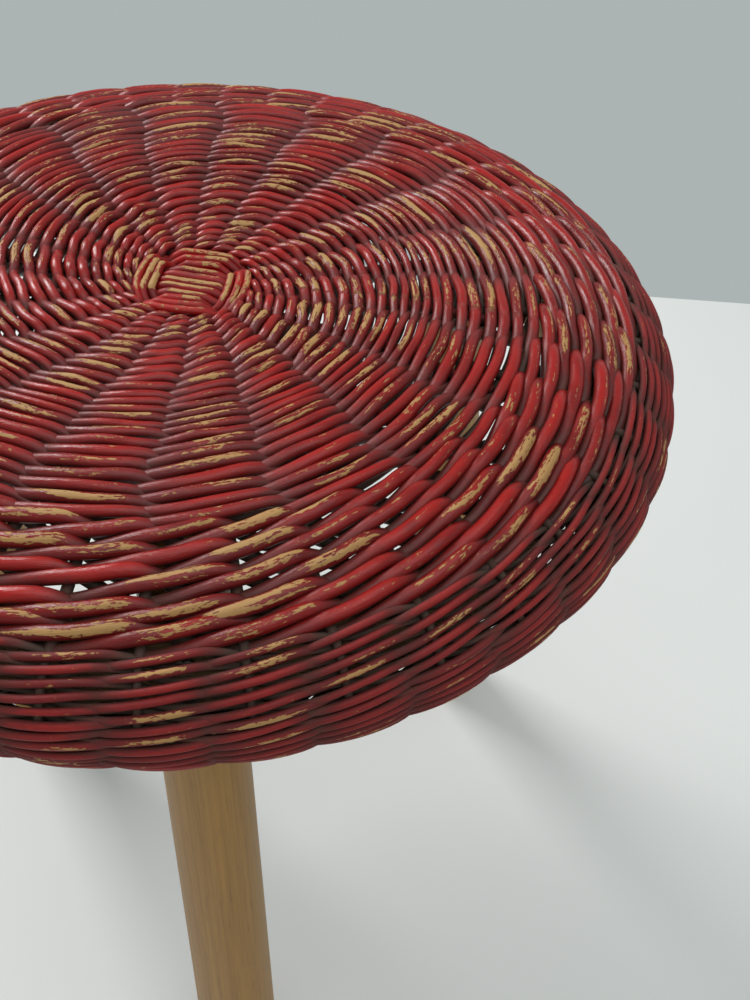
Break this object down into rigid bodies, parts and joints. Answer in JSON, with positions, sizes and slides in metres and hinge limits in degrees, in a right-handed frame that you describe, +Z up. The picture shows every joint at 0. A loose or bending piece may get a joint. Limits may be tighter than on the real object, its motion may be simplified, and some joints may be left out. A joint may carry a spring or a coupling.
{
  "type": "woven stool",
  "caption": "Round stool with a domed, painted willow seat woven over stakes, on splayed round wooden legs nailed to a bent hoop inside the seat.",
  "frame": {"origin": "on the floor below the centre of the seat", "axes": "+Z up; the front leg is on the -Y side; +X to the right of someone who faces the front leg from outside"},
  "size_m": [0.37, 0.37, 0.4],
  "materials": {
    "leg_wood": "oiled, worn",
    "hoop_wood": "raw bent wood",
    "crown_willow": "red painted willow, worn and dusty",
    "wale_willow": "red painted willow, glossy, worn on the crests",
    "side_willow": "red painted willow, dusty",
    "nail_steel": "dull wire nail"
  },
  "bodies": {
    "root": {"leg_front": "leg_wood", "leg_rear_right": "leg_wood", "leg_rear_left": "leg_wood", "frame_hoop": "hoop_wood", "leg_nails": "nail_steel", "border_tacks": "nail_steel", "cross_sticks_upper": "crown_willow", "cross_sticks_lower": "crown_willow", "crown_weave_outer": "crown_willow", "crown_weave_inner": "crown_willow", "shoulder_wale_outer": "wale_willow", "shoulder_wale_inner": "wale_willow", "side_weave_outer": "side_willow", "side_weave_inner": "side_willow", "side_stakes": "side_willow", "plaited_border": "side_willow"}
  },
  "joints": []
}
